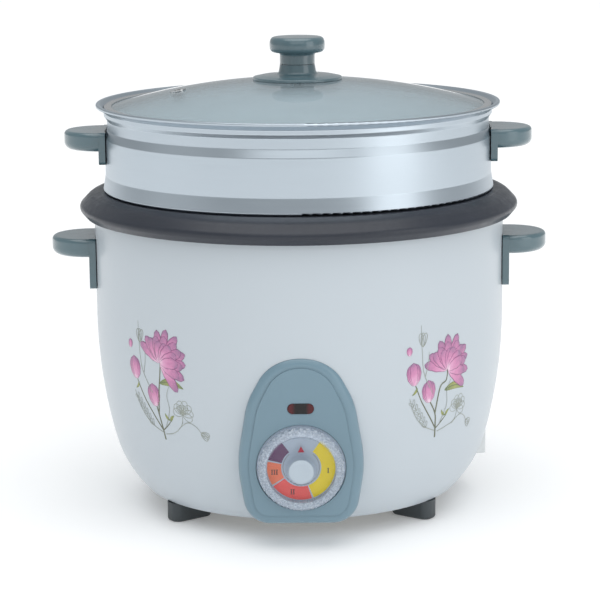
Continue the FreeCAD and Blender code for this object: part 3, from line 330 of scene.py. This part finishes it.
def petal_print():
    """Petal colours by the petal's own coordinates: pale root, pink body, dark tip and veins."""
    paint = Paint("petal_print", **INK_COAT)
    parts = paint.node("SeparateXYZ", {"Vector": paint.node("UVMap", uv_map="print").outputs[0]}).outputs
    drift = paint.spread(paint.noise(260.0, detail=2.0), -0.12, 0.12)
    along = paint.ramp(paint.math("ADD", parts["X"], drift), [
        (0.0, srgb(238, 208, 224)), (0.22, srgb(222, 158, 194)), (0.55, srgb(206, 128, 172)),
        (0.8, srgb(176, 110, 154)), (1.0, srgb(140, 100, 138))])
    across = paint.node("CombineXYZ", {"X": paint.math("MULTIPLY", parts["Y"], 2.6),
                                       "Y": paint.math("MULTIPLY", parts["X"], 0.2)}).outputs[0]
    wave = paint.node("TexWave", {"Vector": across, "Scale": 1.0, "Distortion": 1.5, "Detail": 2.0},
                      wave_type="BANDS", bands_direction="X")
    pale_veins = paint.spread(wave.outputs["Fac"], 0.0, 0.5, 0.7, 1.0)
    veined = paint.blend(pale_veins, along, srgb(226, 180, 208))
    edge = paint.math("ABSOLUTE", paint.math("SUBTRACT", parts["Y"], 0.5))
    rim = paint.spread(edge, 0.0, 0.75, 0.4, 0.48)
    paint.set(Base_Color=paint.blend(rim, veined, srgb(118, 66, 110)),
              Roughness=paint.spread(paint.noise(500.0), 0.38, 0.46))
    return paint.material


def leaf_print():
    """Leaf green by the leaf's own coordinates, with a dark rib and side veins."""
    paint = Paint("leaf_print", **INK_COAT)
    parts = paint.node("SeparateXYZ", {"Vector": paint.node("UVMap", uv_map="print").outputs[0]}).outputs
    away = paint.math("ABSOLUTE", paint.math("SUBTRACT", parts["Y"], 0.5))
    slant = paint.math("ADD", paint.math("MULTIPLY", parts["X"], 9.0),
                       paint.math("MULTIPLY", away, -7.0))
    veins = paint.math("ABSOLUTE", paint.math("SUBTRACT", paint.math("FRACT", slant), 0.5))
    green = paint.ramp(parts["X"], [(0.0, srgb(110, 128, 84)), (0.5, srgb(168, 172, 98)),
                                    (1.0, srgb(120, 136, 92))])
    ribbed = paint.blend(paint.spread(veins, 0.7, 0.0, 0.0, 0.16), green, srgb(84, 96, 74))
    paint.set(Base_Color=paint.blend(paint.spread(away, 0.9, 0.0, 0.02, 0.07), ribbed, srgb(70, 84, 66)),
              Roughness=paint.spread(paint.noise(500.0), 0.38, 0.46))
    return paint.material


finishes = {
    "shell_enamel": enamel(),
    "panel_plastic": moulded("panel_plastic", srgb(115, 142, 156), 0.32,
                             Coat_Weight=0.2, Coat_Roughness=0.2),
    "handle_plastic": moulded("handle_plastic", srgb(78, 104, 112), 0.34,
                              Coat_Weight=1.0, Coat_Roughness=0.14),
    "foot_plastic": moulded("foot_plastic", srgb(66, 72, 75), 0.45),
    "nonstick": nonstick(),
    "brushed_aluminium": brushed("brushed_aluminium", srgb(190, 200, 208), 0.3, 0.5),
    "cast_aluminium": metal("cast_aluminium", srgb(200, 202, 204), 0.42, 260.0, 0.05 * MM),
    "liner_steel": metal("liner_steel", srgb(196, 199, 202), 0.38, 120.0, 0.02 * MM, 0.16),
    "lid_glass": sheet_glass(),
    "stainless": metal("stainless", srgb(214, 214, 214), 0.2, 1500.0, 0.006 * MM, 0.04),
    "clear_plastic": cut_clear(),
    "dial_print": printed("dial_print", srgb(188, 202, 218)),
    "pointer_red": printed("pointer_red", srgb(166, 24, 52)),
    "lens_red": lens(),
    "lamp_glass": bulb_glass(),
    "white_plastic": moulded("white_plastic", srgb(226, 229, 229), 0.36),
    "nickel": metal("nickel", srgb(214, 208, 198), 0.2, 1200.0, 0.004 * MM, 0.05),
    "zinc_steel": metal("zinc_steel", srgb(186, 188, 184), 0.36, 300.0, 0.02 * MM, 0.14,
                        stain=srgb(156, 160, 148)),
    "element_steel": metal("element_steel", srgb(112, 106, 100), 0.4, 400.0, 0.02 * MM, 0.2,
                           stain=srgb(96, 84, 92)),
    "terminal_plastic": moulded("terminal_plastic", srgb(222, 216, 200), 0.5),
    "switch_plastic": moulded("switch_plastic", srgb(40, 40, 43), 0.42),
    "spring_steel": metal("spring_steel", srgb(176, 176, 176), 0.26, 2400.0, 0.01 * MM),
    "silicone": moulded("silicone", srgb(206, 210, 208), 0.5, Subsurface_Weight=0.1),
    "wire_brown": moulded("wire_brown", srgb(110, 66, 38), 0.42, 900.0),
    "wire_blue": moulded("wire_blue", srgb(44, 88, 160), 0.42, 900.0),
    "wire_green": moulded("wire_green", srgb(96, 150, 58), 0.42, 900.0),
    "wire_red": moulded("wire_red", srgb(168, 32, 32), 0.42, 900.0),
}

for part in frame["record"]["subparts"]:
    mesh = nodes[part["node"]].data
    mesh.materials.clear()
    mesh.materials.append(finishes[part["material_slot"]])


def made(name, bm, material, body, slot_name, smooth=None):
    """Turn a bmesh into a piece that rides on a body."""
    mesh = bpy.data.meshes.new(name)
    bm.to_mesh(mesh)
    bm.free()
    mesh.materials.append(material)
    piece = bpy.data.objects.new(name, mesh)
    scene.collection.objects.link(piece)
    if smooth is not None:
        mesh.shade_smooth()
        mesh.set_sharp_from_angle(angle=math.radians(smooth))
    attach(piece, body)
    return piece


# ---------------------------------------------------------------- flower print on the shell

shell = nodes["outer_shell"].data
shell_tree = BVHTree.FromPolygons([v.co for v in shell.vertices], [p.vertices for p in shell.polygons])
SHELL_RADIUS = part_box("outer_shell")[1].x


def mixed(a, b, share):
    """The value at a share of the way from a to b."""
    return a + (b - a) * share


def curve_points(corners, steps=8):
    """Smooth run through the given flat points."""
    points = [Vector(c) for c in corners]
    run = []
    for i in range(len(points) - 1):
        before = points[max(i - 1, 0)]
        a, b = points[i], points[i + 1]
        after = points[min(i + 2, len(points) - 1)]
        for k in range(steps):
            t = k / steps
            run.append(0.5 * (2 * a + (b - before) * t + (2 * before - 5 * a + 4 * b - after) * t ** 2
                              + (3 * a - before - 3 * b + after) * t ** 3))
    return run + [points[-1]]


def petal_half(width, along):
    """Half the width of a petal at a share of its length."""
    return width * 0.5 * 2.05 * along ** 0.6 * max(0.0, 1 - along) ** 0.45


def petal_axes(turn):
    """Directions along and across a petal; turn is in degrees clockwise from straight up."""
    angle = math.radians(turn)
    ahead = Vector((math.sin(angle), math.cos(angle)))
    return ahead, Vector((ahead.y, -ahead.x))


class Print:
    """Flat shapes, in millimetres, wrapped onto the shell as thin layers of ink."""

    FIRST_LAYER = 0.05 * MM
    LAYER = 0.006 * MM
    THICKNESS = 0.07 * MM
    OUTLINE_STEPS = 12

    def __init__(self, turn, height, scale):
        self.turn = math.radians(turn)
        self.height = height * MM
        self.scale = scale * MM
        self.bm = bmesh.new()
        self.uv = self.bm.loops.layers.uv.new("print")
        self.layers = 0

    def wrapped(self, x, y, lift):
        """The point of the shell at x round it and y up it, lifted off the surface."""
        angle = self.turn + x * self.scale / SHELL_RADIUS
        outward = Vector((math.sin(angle), -math.cos(angle), 0))
        start = Vector((0, 0, self.height + y * self.scale)) + outward * (SHELL_RADIUS * 1.5)
        place, normal, _, _ = shell_tree.ray_cast(start, -outward)
        return place + outward * lift

    def patch(self, point, rows, columns):
        """One layer of ink; point gives the flat place of u along and v across, from 0 to 1."""
        lift = self.FIRST_LAYER + self.layers * self.LAYER
        self.layers += 1
        grid = []
        for i in range(rows + 1):
            row = []
            for j in range(columns + 1):
                u, v = i / rows, j / columns
                x, y = point(u, v)
                row.append((self.bm.verts.new(self.wrapped(x, y, lift)), (u, v)))
            grid.append(row)
        for i in range(rows):
            for j in range(columns):
                corners = [grid[i][j], grid[i + 1][j], grid[i + 1][j + 1], grid[i][j + 1]]
                face = self.bm.faces.new([c[0] for c in corners])
                for loop, corner in zip(face.loops, corners):
                    loop[self.uv].uv = corner[1]

    def petal(self, root, turn, length, width, bend):
        """A pointed petal with a slightly rippled edge."""
        ahead, aside = petal_axes(turn)
        root = Vector(root)

        def point(u, v):
            ripple = 1 + 0.05 * math.sin(u * 19 + turn)
            sideways = bend * u * u + (2 * v - 1) * petal_half(width, u) * ripple
            place = root + ahead * (length * u) + aside * sideways
            return place.x, place.y
        self.patch(point, 14, 6)

    def outline(self, root, turn, length, width, bend, stroke=0.34):
        """The edge of a petal drawn as a thin line."""
        ahead, aside = petal_axes(turn)
        run = []
        for side in (-1, 1):
            for k in range(self.OUTLINE_STEPS + 1):
                u = k / self.OUTLINE_STEPS if side < 0 else 1 - k / self.OUTLINE_STEPS
                sideways = bend * u * u + side * petal_half(width, u)
                run.append(Vector(root) + ahead * (length * u) + aside * sideways)
        self.stroke(run, stroke, stroke)

    def stroke(self, run, start_width, end_width):
        """A line of ink along a run of flat points."""
        count = len(run) - 1

        def point(u, v):
            k = round(u * count)
            ahead = run[min(k + 1, count)] - run[max(k - 1, 0)]
            aside = Vector((ahead.y, -ahead.x)).normalized()
            place = run[k] + aside * ((v - 0.5) * mixed(start_width, end_width, u))
            return place.x, place.y
        self.patch(point, count, 1)

    def leaf(self, root, tip, width, teeth):
        """A pointed leaf with a toothed edge."""
        root, tip = Vector(root), Vector(tip)
        ahead = (tip - root).normalized()
        aside = Vector((ahead.y, -ahead.x))
        length = (tip - root).length

        def point(u, v):
            half = width * 0.5 * math.sin(math.pi * u ** 0.8) ** 0.8 if 0 < u < 1 else 0.0
            half *= 1 - 0.16 * abs((u * teeth) % 1 - 0.2)
            sag = -0.12 * length * math.sin(math.pi * u)
            place = root + ahead * (length * u) + aside * (sag + (2 * v - 1) * half)
            return place.x, place.y
        self.patch(point, 36, 4)

    def blossom(self, centre, lean, size):
        """An open flower: three rings of petals that fan out from its centre."""
        # reach of the ring, width of a petal to its reach, half the fan in degrees, petals
        rings = [(1.0, 0.3, 108, 9), (0.86, 0.32, 84, 7), (0.68, 0.34, 52, 5)]
        for reach, share, fan, count in rings:
            for k in range(count):
                side = k - (count - 1) / 2
                turn = lean + side * 2 * fan / count + 4 * math.sin(k * 2.3 + reach * 9)
                length = size * reach * (1 - 0.16 * abs(side) / count) * (1 + 0.05 * math.sin(5 * k))
                self.petal(centre, turn, length, size * share, side * 0.35)

    def bud(self, root, lean, size):
        """A closed flower: a few upright petals that overlap."""
        for side in (-2, 2, -1, 1, 0):
            length = size * (1 - 0.05 * abs(side))
            self.petal(root, lean + side * 13, length, size * 0.4, -side * size * 0.1)

    def finished(self, name, material):
        piece = made(name, self.bm, material, "housing", "shell_enamel", 60)
        thick = piece.modifiers.new("ink", "SOLIDIFY")
        thick.thickness = self.THICKNESS
        thick.offset = -1.0
        return piece


def spray(side, turn, height, scale, flower, lean, low_bud, pale):
    """One flower spray: pink blossom and buds, green stems and leaf, and a pale line drawing.

    turn is in degrees round the shell from the front, and height in millimetres; flower, low_bud
    and pale are flat places on the print, and lean is the blossom's tilt in degrees.
    """
    flower, low_bud, pale = Vector(flower), Vector(low_bud), Vector(pale)

    lines = Print(turn, height, scale)
    for k in range(7):
        lines.outline(pale, k * 33 - 84, 9.5 - abs(k - 3) * 0.5, 5.2, 0.4)
    for k in range(4):
        lines.outline(pale, k * 30 - 45, 6.2, 3.2, 0.0)
    for k in range(3):
        lines.outline(pale + Vector((13, -11.5)), 96 + k * 18, 6.5, 3.0, 0.3)
        lines.outline((-15.5, 62), -16 + k * 15, 9, 3.4, 0.3)
    lines.stroke(curve_points([(2, 3), (10, 5), pale + Vector((-2, -8)), pale]), 0.5, 0.3)
    lines.stroke(curve_points([pale + Vector((-4, -10)), pale + Vector((3, -5.5)),
                               pale + Vector((9, -7)), pale + Vector((13, -11))]), 0.45, 0.3)
    lines.stroke(curve_points([(-1, 4), (-12, 9), (-20, 18), (-24.5, 29)]), 0.5, 0.25)
    lines.stroke(curve_points([(-6, 30), (-14, 44), (-16, 58), (-17, 76)]), 0.45, 0.2)
    lines.stroke(curve_points([(-13, 42), (-11, 50), (-10.5, 58)]), 0.4, 0.2)
    for k in range(6):
        start = Vector((-9 - 2.4 * k, 7.5 + 3.2 * k))
        for side_turn in (-62, -4):
            lines.outline(start, side_turn, 4.4, 1.5, 0.2, 0.26)
    lines.stroke(curve_points([(3, 8), (8, 20), (7, 30), (10, 37)]), 0.4, 0.2)
    lines.finished(f"flower_lines_{side}", pale_ink)

    stems = Print(turn, height, scale)
    stems.stroke(curve_points([(0.6, -1), (-0.6, 8), (-2.2, 16), low_bud + Vector((0.6, 1))]), 1.2, 0.8)
    stems.stroke(curve_points([(-0.6, 6), (-8, 16), (-15, 26), (-20.5, 37)]), 0.9, 0.6)
    stems.stroke(curve_points([(-2.2, 16), (0.5, 33), flower + Vector((-0.8, -7)), flower]), 1.1, 0.7)
    stems.stroke(curve_points([(-0.5, 5), (4.5, 9), (8.5, 13)]), 0.8, 0.5)
    stems.finished(f"flower_stems_{side}", stem_ink)

    leaves = Print(turn, height, scale)
    leaves.leaf(flower + Vector((-1.8, -13.5)), flower + Vector((18.3, -15)), 5.4, 9)
    leaves.leaf((8, 12.4), (11.5, 17), 2.2, 3)
    leaves.leaf((7.6, 13), (3.4, 17.5), 2.0, 3)
    leaves.leaf((-19, 35.5), (-23, 30.5), 1.8, 3)
    leaves.finished(f"flower_leaves_{side}", leaf_ink)

    petals = Print(turn, height, scale)
    petals.bud(low_bud, -6, 15.5)
    petals.bud((-21.2, 37), -6, 15.5)
    petals.bud((-26.0, 57), 2, 6.0)
    petals.blossom(flower, lean, 23)
    petals.finished(f"flower_petals_{side}", petal_ink)


pale_ink = printed("pale_ink", srgb(162, 168, 158))
stem_ink = printed("stem_ink", srgb(104, 108, 84))
leaf_ink = leaf_print()
petal_ink = petal_print()
spray("left", -42.0, 74.0, 1.12, (3.2, 51), 40, (-4.2, 21), (19, 19))
spray("right", 41.0, 74.0, 1.12, (6.5, 44), 24, (-8.5, 24), (20, 16))


# ---------------------------------------------------------------- dial and timer knob

dial_joint = next(j for j in frame["joints"] if j["name"] == "timer_turn")
dial_axis = Vector(dial_joint["axis"]).normalized()
dial_frame = Matrix.Translation(dial_joint["pos_m"]) @ Matrix.Rotation(
    math.atan2(dial_axis.z, dial_axis.y), 4, "X")


def dial_point(radius, angle, out):
    """Place on the dial, in metres; angle is clockwise from the top, out is towards the user."""
    return dial_frame @ Vector((radius * math.sin(angle), -out, radius * math.cos(angle)))


PLATE_FRONT = -1.2 * MM
INK = 0.05 * MM
ZONE_INNER, ZONE_OUTER = 14.2, 24.2
NUMERAL_RADIUS = 19.2
STROKE_GAP, STROKE_HALF_WIDTH, STROKE_HALF_HEIGHT = 1.7, 0.34, 1.7
SERIF_HALF_WIDTH, SERIF_HALF_HEIGHT = 0.7, 0.16


def slab(bm, outline, low, high):
    """A closed slab from a flat outline of (x, z) points in dial millimetres."""
    rings = []
    for out in (low, high):
        rings.append([bm.verts.new(dial_frame @ Vector((x * MM, -out, z * MM))) for x, z in outline])
    count = len(outline)
    bm.faces.new(rings[0][::-1])
    bm.faces.new(rings[1])
    for k in range(count):
        bm.faces.new([rings[0][k], rings[0][(k + 1) % count], rings[1][(k + 1) % count], rings[1][k]])


def sector(inner, outer, start, end):
    """Outline of a ring sector, in dial millimetres and degrees clockwise from the top."""
    steps = max(2, int((end - start) / 4))
    turns = [math.radians(mixed(start, end, k / steps)) for k in range(steps + 1)]
    far = [(outer * math.sin(a), outer * math.cos(a)) for a in turns]
    near = [(inner * math.sin(a), inner * math.cos(a)) for a in reversed(turns)]
    return far + near


def dial_print(name, outlines, material, low=0.0, high=1.0):
    """Ink on the dial plate from one level to another, in layers of ink."""
    bm = bmesh.new()
    for outline in outlines:
        slab(bm, outline, PLATE_FRONT + low * INK, PLATE_FRONT + high * INK)
    bmesh.ops.recalc_face_normals(bm, faces=bm.faces)
    return made(name, bm, material, "housing", "dial_print")


zones = [("one", 35, 159, srgb(246, 220, 0)), ("two", 162, 235, srgb(248, 92, 86)),
         ("three", 238, 281, srgb(248, 128, 88)), ("off", 284, 324, srgb(102, 54, 100))]
for zone, start, end, colour in zones:
    outline = sector(ZONE_INNER, ZONE_OUTER, start, end)
    dial_print(f"dial_zone_{zone}", [outline], printed(f"ink_{zone}", colour))


def bar(x, y, half_width, half_height):
    """Outline of an upright rectangle round its centre."""
    return [(x - half_width, y - half_height), (x + half_width, y - half_height),
            (x + half_width, y + half_height), (x - half_width, y + half_height)]


def numeral(strokes, angle):
    """Upright strokes side by side, with a serif at each end, centred at a place on the dial."""
    turn = math.radians(angle)
    centre = Vector((NUMERAL_RADIUS * math.sin(turn), NUMERAL_RADIUS * math.cos(turn)))
    bars = []
    for k in range(strokes):
        x = centre.x + (k - (strokes - 1) / 2) * STROKE_GAP
        bars.append(bar(x, centre.y, STROKE_HALF_WIDTH, STROKE_HALF_HEIGHT))
        for end in (-1, 1):
            y = centre.y + end * STROKE_HALF_HEIGHT
            bars.append(bar(x, y, SERIF_HALF_WIDTH, SERIF_HALF_HEIGHT))
    return bars


marks = numeral(1, 97) + numeral(2, 199) + numeral(3, 260)
dial_print("dial_numerals", marks, printed("ink_black", srgb(34, 28, 26)), 1.0, 2.0)
ticks = [sector(12.6, 13.2, 40, 320)]
ticks += [sector(24.8, 26.4, angle - 0.7, angle + 0.7) for angle in range(30, 331, 20)]
dial_print("dial_ticks", ticks, printed("ink_grey", srgb(150, 158, 168)))


def faceted_knob():
    """Clear knob: a cut-crystal rim, a flat window ring and a raised fluted centre."""
    count = 144
    bore_radius, bore_end = 3.0, 5.0
    # radius, out towards the user, depth of the cuts, cuts round it, share of a cut turned
    rows = [
        # back and cut rim
        (bore_radius, -0.85, 0, 1, 0), (29.6, -0.85, 0, 1, 0), (30.7, 0.0, 0.5, 36, 0),
        (30.9, 3.4, 1.1, 36, 0), (30.2, 5.0, 1.1, 36, 0.5), (28.8, 6.1, 0.9, 36, 0),
        (27.2, 6.6, 0.9, 36, 0.5), (25.6, 6.4, 0.7, 36, 0),
        # window ring
        (24.2, 5.4, 0, 1, 0), (24.0, 2.3, 0, 1, 0), (11.6, 2.3, 0, 1, 0),
        # raised centre
        (11.3, 3.0, 0.5, 24, 0), (11.0, 7.4, 0.6, 24, 0), (10.1, 8.3, 0.5, 24, 0.5),
        (8.8, 8.6, 0.2, 24, 0), (7.6, 8.35, 0, 1, 0), (0.0, 8.2, 0, 1, 0),
    ]
    bm = bmesh.new()
    turns = [2 * math.pi * k / count for k in range(count)]
    rings = []
    for radius, out, depth, cuts, phase in rows:
        if radius == 0.0:
            rings.append([bm.verts.new(dial_point(0, 0, out * MM))] * count)
            continue
        ring = []
        for k, turn in enumerate(turns):
            share = (k * cuts / count + phase) % 1
            cut = depth * (1 - abs(2 * share - 1)) if cuts > 1 else 0.0
            ring.append(bm.verts.new(dial_point((radius - cut) * MM, turn, (out - 0.35 * cut) * MM)))
        rings.append(ring)
    bore = [bm.verts.new(dial_point(bore_radius * MM, turn, bore_end * MM)) for turn in turns]
    bore_floor = [bm.verts.new(dial_point(0, 0, bore_end * MM))] * count
    rings = [bore_floor, bore] + rings
    for low, high in zip(rings, rings[1:]):
        for k in range(count):
            corners = [low[k], low[(k + 1) % count], high[(k + 1) % count], high[k]]
            bm.faces.new(list(dict.fromkeys(corners)))
    bmesh.ops.recalc_face_normals(bm, faces=bm.faces)
    return made("timer_knob_clear", bm, finishes["clear_plastic"], "timer_knob", "clear_plastic", 8)


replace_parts(faceted_knob(), "timer_knob")


def knob_cap():
    """Pale satin disc on the raised centre of the timer knob."""
    bm = bmesh.new()
    count = 72
    rings = []
    for radius, out in [(9.0, 7.9), (9.0, 8.42), (8.6, 8.58), (5.4, 8.58), (5.0, 8.45)]:
        rings.append([bm.verts.new(dial_point(radius * MM, 2 * math.pi * k / count, out * MM))
                      for k in range(count)])
    for low, high in zip(rings, rings[1:]):
        for k in range(count):
            bm.faces.new([low[k], low[(k + 1) % count], high[(k + 1) % count], high[k]])
    bm.faces.new(rings[0][::-1])
    bm.faces.new(rings[-1])
    bmesh.ops.recalc_face_normals(bm, faces=bm.faces)
    return made("timer_knob_cap", bm, moulded("cap_satin", srgb(182, 194, 204), 0.36), "timer_knob",
                "clear_plastic", 25)


knob_cap()


# ---------------------------------------------------------------- spring under the sensor

# A copy of the sensor spring's mesh takes its place; it is not attached to a body.
coils = bpy.data.objects.new("sensor_spring_coils", nodes["sensor_spring"].data.copy())
scene.collection.objects.link(coils)
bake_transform(coils)
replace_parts(coils, "sensor_spring")


# ---------------------------------------------------------------- studio

def floor_material():
    """Plain white paper, faintly lit from behind, with a slow drift of tone."""
    paint = Paint("floor_white", Specular_IOR_Level=0.2,
                  Emission_Color=(1, 1, 1, 1), Emission_Strength=0.16)
    tone = paint.noise(6.0, detail=2.0)
    paint.set(Base_Color=paint.blend(tone, (0.89, 0.89, 0.89, 1.0), (0.92, 0.92, 0.92, 1.0)),
              Roughness=paint.spread(tone, 0.7, 0.8))
    return paint.material


FLOOR_HALF = 30.0
LIGHTS_AIM = Vector((0, 0, 0.2))

ground = bmesh.new()
bmesh.ops.create_grid(ground, x_segments=8, y_segments=8, size=FLOOR_HALF)
floor_mesh = bpy.data.meshes.new("floor")
ground.to_mesh(floor_mesh)
ground.free()
floor_mesh.materials.append(floor_material())
floor = bpy.data.objects.new("floor", floor_mesh)
floor.location.z = cad_box[0].z
scene.collection.objects.link(floor)

world = bpy.data.worlds.new("studio")
world.use_nodes = True
background = world.node_tree.nodes["Background"].inputs
background["Color"].default_value = (0.93, 0.97, 1.0, 1.0)
background["Strength"].default_value = 0.45
scene.world = world


def aim(lamp):
    """Turn a lamp towards the middle of the object."""
    lamp.rotation_mode = "QUATERNION"
    lamp.rotation_quaternion = (LIGHTS_AIM - lamp.location).to_track_quat("-Z", "Y")


def softbox(name, azimuth, distance, height, width, tall, power):
    """Area light round the object; azimuth 0 is the front, 90 the right side."""
    light = bpy.data.lights.new(name, "AREA")
    light.shape = "RECTANGLE"
    light.size = width
    light.size_y = tall
    light.energy = power
    lamp = bpy.data.objects.new(name, light)
    angle = math.radians(azimuth)
    lamp.location = (math.sin(angle) * distance, -math.cos(angle) * distance, height)
    aim(lamp)
    scene.collection.objects.link(lamp)


softbox("key_right", 56, 1.9, 0.7, 1.1, 1.3, 6.0)
softbox("fill_left", -75, 2.2, 0.8, 1.6, 1.4, 1.1)
softbox("front_high", 0, 2.2, 1.45, 2.6, 0.7, 5.0)
sun_light = bpy.data.lights.new("overhead", "SUN")
sun_light.energy = 1.8
sun_light.angle = math.radians(70)
sun = bpy.data.objects.new("overhead", sun_light)
sun.location = (0, -0.4, 3)
aim(sun)
scene.collection.objects.link(sun)
scene.view_settings.view_transform = "Standard"

LOOKING_DOWN = 11.16
CAMERA_ROLL = -0.55

view = bpy.data.cameras.new("camera")
view.lens = 136.2
view.sensor_width = 36.0
view.clip_end = 200.0
camera = bpy.data.objects.new("camera", view)
camera.location = (0.0003, -1.700, 0.4885)
tilt = Euler((math.radians(90 - LOOKING_DOWN), 0, 0)).to_matrix()
camera.rotation_euler = (tilt @ Matrix.Rotation(math.radians(CAMERA_ROLL), 3, "Z")).to_euler()
scene.collection.objects.link(camera)
scene.camera = camera
